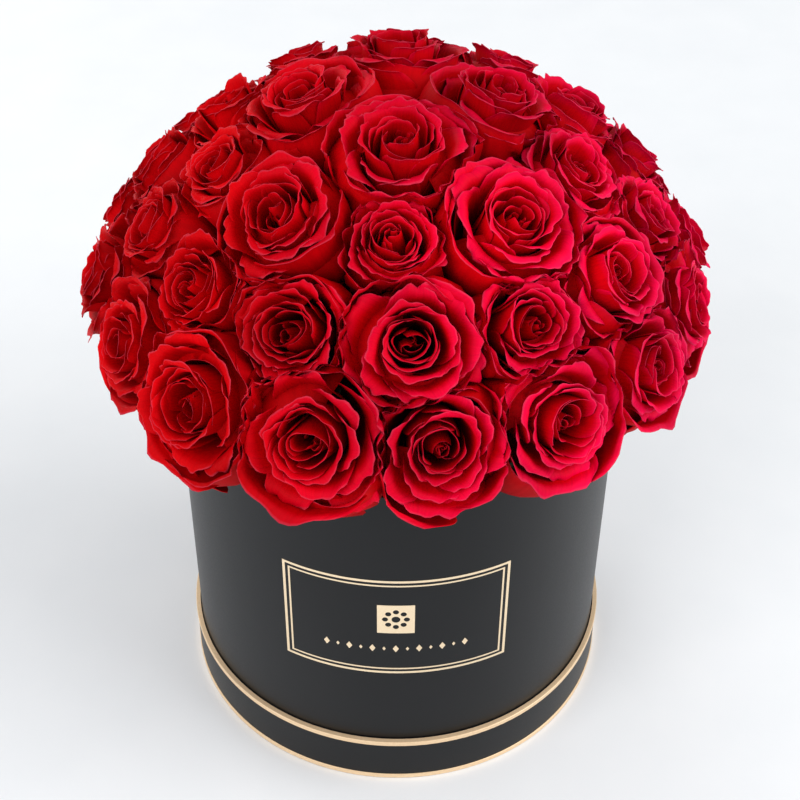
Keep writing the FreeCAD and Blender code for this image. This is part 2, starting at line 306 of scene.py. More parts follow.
def petal_material(name, base_shade_colour, body_colour, highlight_colour, rim_highlight_colour):
    """Petal skin: veins, flowers that differ in depth, painted base, heart and back shade, painted rim
    highlights.
    """
    material, tree, shader = new_material(name, body_colour, 0.55)
    along = add(tree, "ShaderNodeAttribute", attribute_name="along").outputs["Fac"]
    across = add(tree, "ShaderNodeAttribute", attribute_name="across").outputs["Fac"]
    outer = add(tree, "ShaderNodeAttribute", attribute_name="outer").outputs["Fac"]
    place = add(tree, "ShaderNodeTexCoord").outputs["Object"]
    # painted highlight: towards the lit right of the bouquet the rims of the outer petals are painted a
    # pinker red
    spot = add(tree, "ShaderNodeSeparateXYZ", {0: place}).outputs
    lit_side = add(tree, "ShaderNodeMapRange", {"Value": spot["X"], "From Min": -0.07, "From Max": 0.16})
    outside = add(tree, "ShaderNodeMapRange", {"Value": outer, "From Max": 0.6, "To Min": 0.3})
    towards_rim = add(tree, "ShaderNodeMapRange", {"Value": along, "From Min": 0.76, "From Max": 1.0,
                                                   "To Min": 0.05})
    highlight_share = lit_side.outputs["Result"]
    for factor in (outside, towards_rim):
        highlight_share = add(tree, "ShaderNodeMath", {0: highlight_share, 1: factor.outputs["Result"]},
                    operation="MULTIPLY").outputs[0]
    # the body red mixed with the painted pinker highlight
    body = add(tree, "ShaderNodeMix", {"Factor": highlight_share, "A": linear(body_colour),
                                       "B": linear(highlight_colour)}, data_type="RGBA")
    # painted shade: each petal darkens towards its base, deep in the flower
    base_shade = add(tree, "ShaderNodeMapRange", {"Value": along, "From Min": 0.22, "From Max": 0.84},
               interpolation_type="SMOOTHSTEP")
    petal = add(tree, "ShaderNodeMix", {"Factor": base_shade.outputs["Result"], "A": linear(base_shade_colour),
                                        "B": body.outputs["Result"]}, data_type="RGBA")
    # veins: noise that is fine across a petal and long along it
    vein_place = add(tree, "ShaderNodeCombineXYZ", {"X": across, "Y": along})
    vein_stretch = add(tree, "ShaderNodeMapping", {"Vector": vein_place.outputs[0],
                                                   "Scale": (16.0, 1.2, 1.0)})
    veins = add(tree, "ShaderNodeTexNoise", {"Vector": vein_stretch.outputs["Vector"], "Scale": 1.0,
                                             "Detail": 3.0})
    shade = add(tree, "ShaderNodeMapRange", {"Value": veins.outputs["Fac"], "To Min": 0.66, "To Max": 1.2})
    # no two flowers are quite as dark: broad clouding about the size of a rose
    clouds = add(tree, "ShaderNodeTexNoise", {"Vector": place, "Scale": per_metre(ROSE_MM), "Detail": 1.0})
    depth = add(tree, "ShaderNodeMapRange", {"Value": clouds.outputs["Fac"], "From Min": 0.3, "From Max": 0.7,
                                             "To Min": 0.66, "To Max": 1.12})
    # painted shade: hearts are darker than the petals outside, and the flowers at the back are darker too
    heart = add(tree, "ShaderNodeMapRange", {"Value": outer, "From Max": 0.5, "To Min": 0.86})
    back = add(tree, "ShaderNodeMapRange", {"Value": spot["Y"], "From Max": 0.1, "To Min": 1.0,
                                            "To Max": 0.74})
    tone = shade.outputs["Result"]
    for factor in (depth, heart, back):
        tone = add(tree, "ShaderNodeMath", {0: tone, 1: factor.outputs["Result"]},
                   operation="MULTIPLY").outputs[0]
    veined_and_shaded = add(tree, "ShaderNodeVectorMath", {0: petal.outputs["Result"], "Scale": tone}, operation="SCALE")
    # painted highlight: a paler line along every rim, for light caught on the rolled lip
    rim = add(tree, "ShaderNodeMapRange", {"Value": along, "From Min": 0.965, "From Max": 1.0,
                                           "To Max": 0.34})
    final = add(tree, "ShaderNodeMix", {"Factor": rim.outputs["Result"], "A": veined_and_shaded.outputs["Vector"],
                                        "B": linear(rim_highlight_colour)}, data_type="RGBA")
    tree.links.new(final.outputs["Result"], shader.inputs["Base Color"])
    relief = add(tree, "ShaderNodeBump", {"Height": veins.outputs["Fac"], "Distance": 0.25 * MM,
                                          "Strength": 0.5})
    tree.links.new(relief.outputs["Normal"], shader.inputs["Normal"])
    shader.inputs["IOR"].default_value = 1.4
    shader.inputs["Specular IOR Level"].default_value = 0.05
    shader.inputs["Sheen Weight"].default_value = 0.08
    shader.inputs["Sheen Roughness"].default_value = 0.4
    shader.inputs["Sheen Tint"].default_value = linear("#FF0A38")
    return material


# colours: painted base shade, body red, painted pinker highlight, painted rim highlight
petal_velvet = petal_material("rose petal, velvety", "#8E0006", "#DA000A", "#FA055A", "#D0506A")
print("petal finish:", petal_velvet.name)

# %% [markdown]
# ## Finishes for the parts that come in finished
# The lid, the box, the pot, the foam, the stems and the foil are already right in shape and size, so
# they only take a material, by their place in the record.

# %% Give each carried-over part its finish
FINISH_OF_SLOT = {
    "black_paper": charcoal_paper,
    "lining_paper": lining_paper,
    "grey_board": grey_board,
    "gold_trim": gold_band,
    "gold_foil": gold_foil,
    "liner_plastic": pot_plastic,
    "flower_foam": flower_foam,
    "stem_green": stem_green,
    "calyx_green": sepal_green,
    "rose_petals": petal_velvet,
}
for row in frame["record"]["subparts"]:
    part = frame["nodes"][row["node"]]
    part.data.materials.clear()
    part.data.materials.append(FINISH_OF_SLOT[row["material_slot"]])

# %% [markdown]
# ## Where each rose stands
# Every rose sits on its own line out of the foam. The plain heads, calyxes and stems in the frame hold
# those lines, so they are measured instead of being typed in again: the points of a ring are split
# where their bearing jumps, and the middle of a calyx and the middle of its stem give the axis.

# %% Measure the axes of the roses
RINGS = (1, 2, 3, 4)


def bearings(points):
    """Degrees round from the front towards the right."""
    return np.degrees(np.arctan2(points[:, 0], -points[:, 1]))


def clusters(node):
    """The points of a ring node, one array for each rose, from the front round to the right."""
    points = np.array([vertex.co for vertex in frame["nodes"][node].data.vertices])
    points = np.unique(points.round(6), axis=0)
    points = points[np.argsort(bearings(points))]
    gaps = np.diff(bearings(points), append=bearings(points[:1]) + 360)
    cuts = np.flatnonzero(gaps > gaps.max() / 2) + 1
    groups = np.split(np.roll(points, -cuts[0], axis=0), cuts[1:] - cuts[0])
    middles = bearings(np.array([group.mean(0) for group in groups]))
    from_front = (middles + 180 / len(groups)) % 360
    return [groups[number] for number in np.argsort(from_front)]


def rose_axes(ring):
    """For each rose of a ring: the middle of its calyx's top, and the direction that it faces."""
    axes = []
    for calyx, stem in zip(clusters(f"rose_calyxes_ring_{ring}"), clusters(f"rose_stems_ring_{ring}")):
        facing = Vector(calyx.mean(0) - stem.mean(0)).normalized()
        top = float((calyx @ np.array(facing)).max())
        middle = Vector(calyx.mean(0))
        axes.append((middle + facing * (top - middle.dot(facing)), facing))
    return axes


ROSES = {ring: rose_axes(ring) for ring in RINGS}
head_points = clusters("rose_heads_ring_1")[0]
first_base, first_facing = ROSES[1][0]
HEAD_HEIGHT = float((head_points @ np.array(first_facing)).max()) - first_base.dot(first_facing)
print("roses in each ring:", [len(ROSES[ring]) for ring in RINGS], "head height", round(HEAD_HEIGHT, 4))

# %% [markdown]
# ## A sheet with two sides
# Petals and sepals are thin, but a real one has two faces and an edge. Solidify could add them; here
# the grid of points is known, so the second side and the border are written down directly, which gives
# a closed shell with few faces and keeps the numbers stored on its points.

# %% Helper: a closed shell from a grid of points
def closed_sheet(name, sheet, thickness, attributes):
    """Give a grid of points (across, along) two sides and a border; thickness is an array like it."""
    normal = np.cross(np.gradient(sheet, axis=0), np.gradient(sheet, axis=1))
    normal /= np.linalg.norm(normal, axis=-1, keepdims=True)
    half = normal * thickness[..., None] / 2
    points = np.concatenate(((sheet + half).reshape(-1, 3), (sheet - half).reshape(-1, 3)))
    number = np.arange(thickness.size).reshape(thickness.shape)
    quads = np.stack((number[:-1, :-1], number[1:, :-1], number[1:, 1:], number[:-1, 1:]), -1).reshape(-1, 4)
    border = np.concatenate((number[:-1, 0], number[-1, :-1], number[:0:-1, -1], number[0, :0:-1]))
    ahead = np.roll(border, -1)
    edge = np.stack((ahead, border, border + number.size, ahead + number.size), -1)
    mesh = bpy.data.meshes.new(name)
    faces = np.concatenate((quads, quads[:, ::-1] + number.size, edge))
    mesh.from_pydata(points.tolist(), [], faces.tolist())
    for attribute, values in attributes.items():
        data = mesh.attributes.new(attribute, "FLOAT", "POINT").data
        data.foreach_set("value", np.tile(values.ravel(), 2).astype(np.float32))
    shape = bmesh.new()
    shape.from_mesh(mesh)
    bmesh.ops.recalc_face_normals(shape, faces=shape.faces)
    shape.to_mesh(mesh)
    shape.free()
    return bpy.data.objects.new(name, mesh)


trial_grid = np.zeros((3, 2, 3))
trial_grid[..., 0], trial_grid[..., 1] = np.meshgrid(range(3), range(2), indexing="ij")
trial = closed_sheet("trial", trial_grid, np.full((3, 2), 0.1), {})
print("a sheet of 3 by 2 points becomes a shell of", len(trial.data.polygons), "faces")
bpy.data.objects.remove(trial)

# %% [markdown]
# ## The shape of one petal
# From the side, a petal is a curve: it leaves the calyx, swells into a cup, leans out and rolls over at
# its rim. From above it is a piece of a ring round the flower's axis. So a petal is made as a grid over
# that curve, bent round the axis, with a rounded end, sides that flare outward and a frill along its
# rim. Heart petals stand upright and wrap far round; outer petals lean out, roll more and are shorter.
# Nine forms between the two are enough, because no two roses place them alike.

# %% Petal forms
FORMS = 9
FORM_RADIUS = 26.0            # mm, the open flower that the forms are drawn for
FORM_HEIGHT = 42.0
HEART_RADIUS = 2.4
ACROSS_POINTS = 21
ALONG_POINTS = 13
ROLL_START = 0.80             # where the rim's roll begins, as a share of the petal's length
ROLL_REACH = 1.4              # the roll is drawn this much further than it is used
CUP_POINTS = 60
ROLL_POINTS = 40
FRILL_HEIGHT = 0.6
FRILL_LENGTH = 15.0
PETAL_THICKNESS = 0.34


def mix(low, high, share):
    return low + (high - low) * share


def petal_side_view(stage, opening, sunk, fallen, roll_radius):
    """Points (radius, height) of the curve from the calyx to the rolled rim, with their length."""
    rim = mix(HEART_RADIUS, FORM_RADIUS, stage)
    height = FORM_HEIGHT - sunk * (1 - stage) ** 3 - fallen * stage ** 3
    lean = mix(0.10, mix(0.80, 1.15, opening), stage ** 0.6)
    start = np.array((1.5 + 2.0 * stage, 0.0))
    belly = np.array((rim * mix(1.15, 0.66, lean) + 4.5 * (1 - stage) ** 2, 0.08 * height))
    neck = np.array((rim * mix(1.10, 0.74, lean) + 1.5 * (1 - stage) ** 2, 0.72 * height))
    closing = mix(mix(0.60, 0.85, opening), 1.0, min(3 * stage, 1.0))
    top = np.array((rim * mix(1.0, 0.93, lean) * closing, 0.965 * height))
    # a smooth curve from the calyx to the top, steered by the belly and the neck
    share = np.linspace(0, 1, CUP_POINTS)[:, None]
    cup = ((1 - share) ** 3 * start + 3 * (1 - share) ** 2 * share * belly
           + 3 * (1 - share) * share ** 2 * neck + share ** 3 * top)
    # the roll: an arc that carries on in the direction of the cup's last stretch
    direction = math.atan2(*(top - neck))
    turn = math.radians(mix(20.0, mix(80.0, 150.0, opening), stage))
    radius = mix(0.8, roll_radius, stage)
    angles = direction + np.linspace(0, ROLL_REACH, ROLL_POINTS) * turn
    step = radius * turn * ROLL_REACH / (ROLL_POINTS - 1)
    roll = top + np.cumsum(np.stack((np.sin(angles), np.cos(angles)), 1) * step, 0)
    along_roll = np.linspace(0, ROLL_REACH, ROLL_POINTS + 1)[1:]
    length = np.concatenate((np.linspace(0, ROLL_START, CUP_POINTS),
                             ROLL_START + along_roll * (1 - ROLL_START)))
    return length, np.concatenate((cup, roll))


def petal(name, side_view, half_turn, stage, corner, narrowing):
    """Bend a side view round the axis, and give it a rounded end, flared sides and a frill."""
    length, curve = side_view
    across = np.linspace(-1, 1, ACROSS_POINTS)
    along = 1 - (1 - np.linspace(0, 1, ALONG_POINTS)) ** 1.35
    u, v = np.meshgrid(across, along, indexing="ij")
    tip = 0.03 * stage * np.exp(-(u / 0.25) ** 2)
    reach = v * (1 - corner * np.abs(u) ** 2.1 + tip)
    radius = np.interp(reach, length, curve[:, 0])
    level = np.interp(reach, length, curve[:, 1])
    swell = 0.30 + 0.70 * np.sin(np.pi / 2 * np.minimum(v / 0.55, 1))
    angle = half_turn * u * swell * (1 - narrowing * (np.maximum(v - 0.55, 0) / 0.45) ** 2)
    radius = radius + 1.0 * stage * np.abs(u) ** 3 * v ** 2 + (0.4 + 0.8 * stage) * u
    sheet = np.stack((radius * np.cos(angle), radius * np.sin(angle), level), -1)
    waves = 2 * np.pi * curve[:, 0].max() * half_turn / FRILL_LENGTH
    phase = 1.7 * stage * FORMS
    frill = np.sin(waves * u + phase) + 0.6 * np.sin(1.6 * waves * u + 2 * phase)
    frill = frill * FRILL_HEIGHT * stage ** 0.5 * v ** 6
    outwards = np.stack((np.cos(angle), np.sin(angle), 0.5 + 0 * u), -1)
    sheet = (sheet + outwards * frill[..., None]) / (curve[:, 0].max(), curve[:, 0].max(), FORM_HEIGHT)
    thickness = PETAL_THICKNESS / FORM_HEIGHT * (1 - 0.5 * v ** 4)
    return closed_sheet(name, sheet, thickness, {"along": v, "across": u, "outer": 0 * u + stage})


def petal_set(label, opening, sunk, fallen):
    """The nine forms from heart to outside, and a tenth: the drooping guard petal under the flower."""
    forms = bpy.data.collections.new(label)
    for number in range(FORMS):
        stage = number / (FORMS - 1)
        side_view = petal_side_view(stage, opening, sunk, fallen, roll_radius=3.4)
        half_turn = math.radians(mix(112.0, 46.0, stage ** 0.6))
        forms.objects.link(petal(f"{label}_{number}", side_view, half_turn, stage,
                                 corner=mix(0.10, 0.21, stage), narrowing=mix(0.15, 0.48, stage)))
    side_view = petal_side_view(1.0, 1.2, sunk, fallen, roll_radius=6.0)
    forms.objects.link(petal(f"{label}_guard", side_view, math.radians(40.0), 1.0,
                             corner=0.24, narrowing=0.6))
    return forms


PETAL_SETS = {"tight": petal_set("tight", 0.2, sunk=2.0, fallen=9.0),
              "cupped": petal_set("cupped", 0.6, sunk=4.5, fallen=12.0),
              "open": petal_set("open", 1.0, sunk=7.0, fallen=16.0)}

# %% [markdown]
# ## The arrangement of the petals
# Petals leave a rose's axis one after another, each about 137.5 degrees round from the last, so none
# sits right behind another. That rule is what Geometry Nodes are good at: a line of points, one for
# each petal, takes the form that its turn calls for, and is turned and sized by its number. A second
# short line makes the guard petals. Then the whole flower is made real, a smooth noise bends
# neighbouring petals together, so that they keep clear of each other, and the finish is set.

# %% Geometry Nodes: one bloom
GOLDEN_TURN = math.radians(137.508)


def whorl(tree, size, form, radius, height, count):
    """Petals on a line of points, each with its form, its turn and its size."""
    index = add(tree, "GeometryNodeInputIndex").outputs[0]
    line = add(tree, "GeometryNodeMeshLine", {"Count": count, "Offset": (0, 0, 0)})
    forms = add(tree, "GeometryNodeCollectionInfo",
                {"Collection": size["Petals"], "Separate Children": True, "Reset Children": True})
    wobble = add(tree, "FunctionNodeRandomValue", {"Min": (-0.07, -0.07, -0.18), "Max": (0.07, 0.07, 0.18),
                                                   "Seed": size["Seed"]}, data_type="FLOAT_VECTOR")
    angle = add(tree, "ShaderNodeMath", {0: index, 1: GOLDEN_TURN}, operation="MULTIPLY")
    spin = add(tree, "ShaderNodeCombineXYZ", {"Z": angle.outputs[0]})
    turn = add(tree, "ShaderNodeVectorMath", {0: wobble.outputs["Value"], 1: spin.outputs[0]},
               operation="ADD")
    other_seed = add(tree, "ShaderNodeMath", {0: size["Seed"], 1: 7.0}, operation="ADD")
    vary = add(tree, "FunctionNodeRandomValue", {"Min": (0.95, 0.95, 0.94), "Max": (1.05, 1.05, 1.04),
                                                 "Seed": other_seed.outputs[0]}, data_type="FLOAT_VECTOR")
    whole = add(tree, "ShaderNodeCombineXYZ", {"X": radius, "Y": radius, "Z": height})
    scale = add(tree, "ShaderNodeVectorMath", {0: vary.outputs["Value"], 1: whole.outputs[0]},
                operation="MULTIPLY")
    return add(tree, "GeometryNodeInstanceOnPoints",
               {"Points": line.outputs[0], "Instance": forms.outputs[0], "Pick Instance": True,
                "Instance Index": form, "Rotation": turn.outputs[0], "Scale": scale.outputs[0]}).outputs[0]


def new_tree(name, inputs):
    """An empty Geometry Nodes tree with named inputs; returns it with the sockets of those inputs."""
    tree = bpy.data.node_groups.new(name, "GeometryNodeTree")
    tree.interface.new_socket("Geometry", in_out="OUTPUT", socket_type="NodeSocketGeometry")
    for label, kind in inputs.items():
        tree.interface.new_socket(label, in_out="INPUT", socket_type="NodeSocket" + kind)
    return tree, add(tree, "NodeGroupInput").outputs


def bloom_tree():
    """The tree of one rose: a whorl of petals, a whorl of guard petals, and a soft bend."""
    tree, size = new_tree("rose bloom", {
        "Petals": "Collection", "Petal Count": "Int", "Guard Petals": "Int", "Bloom Radius": "Float",
        "Heart Radius": "Float", "Head Height": "Float", "Crowding": "Float", "Guard Spread": "Float",
        "Guard Height": "Float", "Wave Height": "Float", "Wave Length": "Float", "Seed": "Int",
        "Finish": "Material"})
    # age runs from 0 at the heart to 1 outside, and spread does the same with more petals at the heart
    index = add(tree, "GeometryNodeInputIndex").outputs[0]
    last = add(tree, "ShaderNodeMath", {0: size["Petal Count"], 1: 1.0}, operation="SUBTRACT")
    age = add(tree, "ShaderNodeMapRange", {"Value": index, "From Max": last.outputs[0]})
    spread = add(tree, "ShaderNodeMath", {0: age.outputs["Result"], 1: size["Crowding"]},
                 operation="POWER").outputs[0]
    radius = add(tree, "ShaderNodeMapRange", {"Value": spread, "To Min": size["Heart Radius"],
                                              "To Max": size["Bloom Radius"]}).outputs["Result"]
    form_step = add(tree, "ShaderNodeMapRange", {"Value": spread, "To Max": FORMS - 1.0})
    form = add(tree, "ShaderNodeMath", {0: form_step.outputs["Result"]}, operation="ROUND").outputs[0]
    flower = whorl(tree, size, form, radius, size["Head Height"], size["Petal Count"])
    guard_radius = add(tree, "ShaderNodeMath", {0: size["Bloom Radius"], 1: size["Guard Spread"]},
                       operation="MULTIPLY").outputs[0]
    guard_height = add(tree, "ShaderNodeMath", {0: size["Head Height"], 1: size["Guard Height"]},
                       operation="MULTIPLY").outputs[0]
    guards = whorl(tree, size, FORMS, guard_radius, guard_height, size["Guard Petals"])
    both = add(tree, "GeometryNodeJoinGeometry", {0: flower})
    tree.links.new(guards, both.inputs[0])
    real = add(tree, "GeometryNodeRealizeInstances", {0: both.outputs[0]})
    # the bend: smooth noise in space, stronger towards each rim
    along = add(tree, "GeometryNodeInputNamedAttribute", {"Name": "along"}, data_type="FLOAT").outputs[0]
    noise_scale = add(tree, "ShaderNodeMath", {0: 1.0, 1: size["Wave Length"]}, operation="DIVIDE")
    waves = add(tree, "ShaderNodeTexNoise", {"Scale": noise_scale.outputs[0], "Detail": 3.0,
                                             "W": size["Seed"]}, noise_dimensions="4D")
    centred = add(tree, "ShaderNodeVectorMath", {0: waves.outputs["Color"], 1: (0.5, 0.5, 0.5)},
                  operation="SUBTRACT")
    rise = add(tree, "ShaderNodeMath", {0: along, 1: 2.0}, operation="POWER")
    full = add(tree, "ShaderNodeMath", {0: size["Wave Height"], 1: 2.0}, operation="MULTIPLY")
    strength = add(tree, "ShaderNodeMath", {0: rise.outputs[0], 1: full.outputs[0]}, operation="MULTIPLY")
    push = add(tree, "ShaderNodeVectorMath", {0: centred.outputs[0], "Scale": strength.outputs[0]},
               operation="SCALE")
    bent = add(tree, "GeometryNodeSetPosition", {"Geometry": real.outputs[0], "Offset": push.outputs[0]})
    smooth = add(tree, "GeometryNodeSetShadeSmooth", {0: bent.outputs[0]})
    finished = add(tree, "GeometryNodeSetMaterial", {"Geometry": smooth.outputs[0],
                                                     "Material": size["Finish"]})
    add(tree, "NodeGroupOutput", {0: finished.outputs[0]})
    return tree


BLOOM = bloom_tree()
print("bloom tree:", len(BLOOM.nodes), "nodes")

# %% [markdown]
# ## Using a tree once
# A modifier's inputs are set by the identifier of each socket. The evaluated result is then copied into
# a plain mesh, and the helper object goes away: what is left is an ordinary mesh at the origin.

# %% Helper: evaluate a tree into a plain mesh
def grow(tree, values, start=None):
    """Run a Geometry Nodes tree with these named inputs, and return its result as a plain mesh."""
    carrier = bpy.data.objects.new("carrier", start or bpy.data.meshes.new("carrier"))
    bpy.context.scene.collection.objects.link(carrier)
    modifier = carrier.modifiers.new("grow", "NODES")
    modifier.node_group = tree
    for item in tree.interface.items_tree:
        if item.in_out == "INPUT" and item.name in values:
            modifier[item.identifier] = values[item.name]
    carrier.update_tag()
    graph = bpy.context.evaluated_depsgraph_get()
    mesh = bpy.data.meshes.new_from_object(carrier.evaluated_get(graph), depsgraph=graph)
    bpy.data.objects.remove(carrier)
    return mesh


def insert_piece(name, mesh, node):
    """Show a mesh as a piece of the insert that lifts out of the box, in place of a plain part."""
    piece = bpy.data.objects.new(name, mesh)
    bpy.context.scene.collection.objects.link(piece)
    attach(piece, "insert")
    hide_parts(node)
    return piece


print("ready to grow:", BLOOM.name)

# %% [markdown]
# ## The bouquet
# Roses in one box differ: some are still tight spirals, some are wide open. Each ring has a short row
# of diameters and stages, from the front round to the right, and each rose has its own seed. A larger
# rose stands a little further out. Flowers packed this close press on each other, so the points of a
# rose that would reach past the plane half-way to a neighbour are eased back to it, never across it.

# %% Choose and place the roses
# diameter in mm and stage of each rose, from the front round to the right
BOUQUET = {
    1: ((63, "cupped"), (59, "cupped"), (58, "cupped"), (60, "open")),
    2: ((48, "tight"), (68, "open"), (55, "open"), (56, "cupped"), (55, "open"),
        (57, "cupped"), (55, "open"), (53, "cupped"), (50, "open"), (62, "cupped")),
    3: ((64, "open"), (53, "cupped"), (60, "open"), (52, "open"), (53, "cupped"),
        (55, "open"), (53, "cupped"), (57, "open"), (53, "cupped"), (55, "open"),
        (53, "tight"), (50, "cupped"), (50, "tight"), (54, "cupped")),
    4: ((61, "cupped"), (64, "open"), (60, "open"), (60, "open"), (59, "cupped"),
        (61, "open"), (58, "cupped"), (61, "open"), (59, "open"), (58, "cupped"), (61, "open"),
        (59, "open"), (60, "cupped"), (60, "open"), (70, "cupped"), (70, "open")),
}
PETALS = {"tight": 27, "cupped": 27, "open": 28}
# the roses round the crown and over the rim have wider guard petals, which close the gaps there
GUARD_SPREAD = {1: 1.14, 2: 1.0, 3: 1.0, 4: 1.14}
GUARD_PETALS = 6
GUARD_HEIGHT = 0.84           # share of the head's height
OPENING_RADIUS = 2.6 * MM     # of the innermost petals
CROWDING = 1.1                # above 1, more of the petals stand near the heart
WAVE_HEIGHT = 3.8 * MM        # how far the soft bend moves a rim, and the length of its waves
WAVE_LENGTH = 19.0 * MM
MIDDLE_SIZE = 52.0            # mm; larger roses stand further out of the foam
STAND_OUT_SHARE = 0.35
ROOM = 3.0 * MM               # where the press of a neighbour begins to be felt
YIELD = 0.30                  # how far the boundary moves towards the smaller of two roses
RUFFLE = 1.6 * MM             # how far the boundary waves, and the length of its waves
RUFFLE_LENGTH = 17.0 * MM
NEIGHBOUR_ANGLE = math.radians(35.0)
TINY = 1e-9                   # a flower exactly in line counts as on the right


def meeting_point():
    """The point on the axis of the box that every rose's axis starts from."""
    base, facing = ROSES[4][0]
    reach = math.hypot(base.x, base.y) / math.hypot(facing.x, facing.y)
    return base - facing * reach


FOCUS = meeting_point()
everyone = [(ring, number, *axis) for ring in RINGS for number, axis in enumerate(ROSES[ring])]


def press(points, facing, diameter, neighbours):
    """Ease points back from the waving boundary to each neighbour; the larger rose gets more room."""
    wave = RUFFLE * np.sin(points @ np.array((1.0, 1.3, 0.7)) * math.tau / RUFFLE_LENGTH)
    for other_facing, other_diameter in neighbours:
        across = np.array((facing - other_facing).normalized())
        # the two flowers look across in opposite directions, so the wave changes sign with them
        side = 1.0 if across[0] > -TINY else -1.0
        boundary = (other_diameter - diameter) * YIELD * MM + wave * side
        room = (points - np.array(FOCUS)) @ across - boundary
        near = room < ROOM
        eased = ROOM * np.exp((room[near] - ROOM) / ROOM)
        points[near] += np.outer(eased - room[near], across)
    return points


def make_rose(ring, number, base, facing):
    """Grow one rose, stand it on its calyx, and press it against its neighbours."""
    diameter, stage = BOUQUET[ring][number]
    seed = 100 * ring + number
    stand_out = (diameter - MIDDLE_SIZE) * STAND_OUT_SHARE * MM
    mesh = grow(BLOOM, {
        "Petals": PETAL_SETS[stage], "Petal Count": PETALS[stage], "Guard Petals": GUARD_PETALS,
        "Bloom Radius": diameter / 2 * MM, "Heart Radius": OPENING_RADIUS,
        "Head Height": HEAD_HEIGHT + stand_out, "Crowding": CROWDING,
        "Guard Spread": GUARD_SPREAD[ring], "Guard Height": GUARD_HEIGHT,
        "Wave Height": WAVE_HEIGHT, "Wave Length": WAVE_LENGTH, "Seed": seed, "Finish": petal_velvet,
    })
    spin = Matrix.Rotation(GOLDEN_TURN * seed, 4, "Z")
    stand = Matrix.Translation(base) @ facing.to_track_quat("Z", "Y").to_matrix().to_4x4()
    mesh.transform(stand @ spin)
    points = np.empty(len(mesh.vertices) * 3)
    mesh.vertices.foreach_get("co", points)
    neighbours = [(other[3], BOUQUET[other[0]][other[1]][0]) for other in everyone
                  if other[3] != facing and facing.angle(other[3]) < NEIGHBOUR_ANGLE]
    points = press(points.reshape(-1, 3), facing, diameter, neighbours)
    mesh.vertices.foreach_set("co", points.ravel())
    mesh.update()
    return insert_piece(f"rose_r{ring}_{number + 1:02d}", mesh, f"rose_heads_ring_{ring}")


roses = [make_rose(*one) for one in everyone]
triangles = sum(len(polygon.vertices) - 2 for polygon in roses[0].data.polygons)
print(len(roses), "roses,", triangles, "triangles in the first, meeting at", round(FOCUS.z, 4))
for forms in PETAL_SETS.values():
    for form in list(forms.objects):
        bpy.data.objects.remove(form)
    bpy.data.collections.remove(forms)

# %% [markdown]
# ## Calyxes
# Under each bloom a rounded green hip carries five narrow sepals, which fold back and down once the
# flower is open. They repeat on a rule, so one hip and one sepal are modelled, and a second tree sets
# them out: each rose is a point that knows which way it faces, and each point is doubled five times for
# its sepals. One piece holds the calyxes of a ring, as the plain part does.

# %% The hip and one sepal
HIP_LENGTH = 7.0 * MM
HIP_RADIUS = 6.0 * MM
HIP_RIM_RADIUS = 4.6 * MM
SEPAL_LENGTH = 17.0 * MM
SEPAL_WIDTH = 6.5 * MM
SEPAL_THICKNESS = 0.5 * MM
SEPALS = 5
UNEVENNESS = 0.2              # how far each sepal is turned by chance, in radians


def hip_form():
    """A small urn: a ball drawn in towards the stem, with its widest place below the top."""
    shape = bmesh.new()
    bmesh.ops.create_uvsphere(shape, u_segments=16, v_segments=12, radius=1.0)
    for vertex in shape.verts:
        share = (1 - vertex.co.z) / 2
        urn = HIP_RADIUS * (1 - 0.35 * share ** 2)
        vertex.co = (vertex.co.x * urn, vertex.co.y * urn, 0.12 * HIP_LENGTH - share * HIP_LENGTH)
    mesh = bpy.data.meshes.new("hip")
    shape.to_mesh(mesh)
    shape.free()
    return bpy.data.objects.new("hip", mesh)


def sepal_form():
    """A narrow pointed leaf that leaves the hip outwards and folds down, keeled along its middle."""
    u, v = np.meshgrid(np.linspace(-1, 1, 7), np.linspace(0, 1, 11), indexing="ij")
    bend = np.radians(60 + 85 * v)
    out = HIP_RIM_RADIUS + np.cumsum(np.sin(bend), 1) * SEPAL_LENGTH / 11
    level = np.cumsum(np.cos(bend), 1) * SEPAL_LENGTH / 11 - np.abs(u) * 0.8 * MM
    half_width = SEPAL_WIDTH / 2 * np.sin(np.pi * (0.22 + 0.75 * v)) ** 0.8
    sheet = np.stack((out, u * half_width, level), -1)
    return closed_sheet("sepal", sheet, SEPAL_THICKNESS * (1 - 0.5 * v), {})


hip, sepal = hip_form(), sepal_form()
print("hip:", len(hip.data.polygons), "faces, sepal:", len(sepal.data.polygons), "faces")

